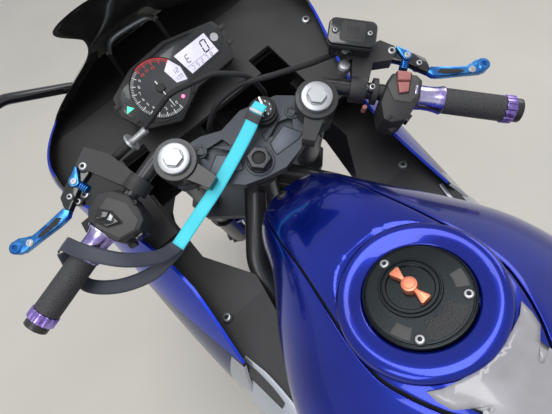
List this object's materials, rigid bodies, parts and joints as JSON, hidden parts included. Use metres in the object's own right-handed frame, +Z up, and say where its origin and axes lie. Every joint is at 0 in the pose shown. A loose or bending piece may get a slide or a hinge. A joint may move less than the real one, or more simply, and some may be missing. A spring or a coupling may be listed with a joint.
{
  "type": "sport motorcycle",
  "caption": "Middleweight faired sport motorcycle with clip-on bars, blue bodywork, a steel tube frame and cast wheels, parked on its side stand.",
  "frame": {"origin": "centre of the bounding box at the floor, as parked on the side stand", "axes": "+X forward, +Y to the rider's left, +Z up; the bike leans 11 degrees to the left"},
  "size_m": [2.088, 0.7562, 1.1519],
  "materials": {
    "black_gloss": "gloss black",
    "black_plastic": "grained black",
    "blue_paint": "glossy metallic blue",
    "blue_plastic": "glossy blue bodywork",
    "cable_black": "cable sheath",
    "chain_steel": "oiled steel",
    "cover_metal": "satin cast cover",
    "dark_alloy": "dark anodised clamp",
    "disc_steel": "brushed disc",
    "engine_paint": "satin dark grey",
    "exhaust_steel": "heat tinted steel",
    "fork_cap_metal": "bright fork cap and tube",
    "frame_paint": "satin black",
    "grip_rubber": "knurled rubber",
    "key_metal": "key",
    "lens_amber": "amber lens",
    "lens_clear": "clear lens",
    "lens_red": "red lens",
    "lever_blue": "blue anodised lever",
    "mirror_black": "black mirror housing",
    "plate_white": "blank plate",
    "radiator_alloy": "black core",
    "reservoir_black": "reservoir",
    "screen_clear": "light smoke screen",
    "seat_vinyl": "grained black seat cover",
    "silencer_black": "satin black can",
    "slider_metal": "satin black lower leg",
    "steel": "brushed steel",
    "strap_cyan": "woven strap",
    "tyre_rubber": "tyre rubber",
    "violet_alloy": "violet anodised",
    "wheel_paint": "gloss blue cast wheel"
  },
  "bodies": {
    "chassis": {"belly_pan": "black_gloss", "dash_panel": "black_plastic", "drive_chain": "chain_steel", "engine": "engine_paint", "engine_covers": "cover_metal", "exhaust_header": "exhaust_steel", "fairing_stays": "frame_paint", "frame": "frame_paint", "fuel_cap": "black_gloss", "fuel_tank": "blue_paint", "headlights": "lens_clear", "indicators": "lens_amber", "inner_panels": "black_plastic", "instrument_cluster": "black_gloss", "left_fairing": "blue_plastic", "left_footrest": "dark_alloy", "mirrors": "mirror_black", "nose_cowl": "blue_plastic", "number_plate": "plate_white", "passenger_footrests": "dark_alloy", "passenger_seat": "seat_vinyl", "radiator": "radiator_alloy", "rear_caliper": "dark_alloy", "rear_mudguard": "black_plastic", "rear_shock": "steel", "rider_seat": "seat_vinyl", "right_fairing": "blue_plastic", "right_footrest": "dark_alloy", "silencer": "silencer_black", "swingarm": "frame_paint", "tail_cowl": "blue_plastic", "tail_light": "lens_red", "windscreen": "screen_clear"},
    "steering": {"fork_tubes": "fork_cap_metal", "fork_sliders": "slider_metal", "top_clamp": "dark_alloy", "stem_nut": "steel", "ignition_switch": "black_gloss", "ignition_key": "key_metal", "lower_clamp": "dark_alloy", "handlebars": "frame_paint", "grip_rubbers": "grip_rubber", "grip_collars": "violet_alloy", "switch_pods": "black_plastic", "lever_perches": "dark_alloy", "hand_levers": "lever_blue", "brake_reservoir": "reservoir_black", "front_caliper": "dark_alloy", "front_fender": "black_gloss", "control_cables": "cable_black", "key_lanyard": "strap_cyan"},
    "front_wheel_set": {"front_wheel": "wheel_paint", "front_tyre": "tyre_rubber", "front_disc": "disc_steel"},
    "rear_wheel_set": {"rear_wheel": "wheel_paint", "rear_tyre": "tyre_rubber", "rear_disc": "disc_steel", "rear_sprocket": "chain_steel"},
    "stand": {"side_stand": "frame_paint"}
  },
  "joints": [
    {"name": "steering", "type": "hinge", "parent": "chassis", "child": "steering", "pos_m": [0.42292, -0.00774, 0.91128], "axis": [-0.424, 0.1729, 0.889], "range_deg": [-17.7, 50.3], "deforming": ["key_lanyard"]},
    {"name": "front_wheel_spin", "type": "hinge", "parent": "steering", "child": "front_wheel_set", "pos_m": [0.75902, -0.13891, 0.29248], "axis": [0.2545, 0.9648, -0.0663], "continuous": true},
    {"name": "rear_wheel_spin", "type": "hinge", "parent": "chassis", "child": "rear_wheel_set", "pos_m": [-0.61964, -0.12439, 0.30952], "axis": [0.0003, 0.9816, -0.1908], "continuous": true},
    {"name": "side_stand_fold", "type": "hinge", "parent": "chassis", "child": "stand", "pos_m": [-0.00948, -0.04187, 0.21091], "axis": [0.082, 0.9385, 0.3355], "range_deg": [0, 90]}
  ]
}
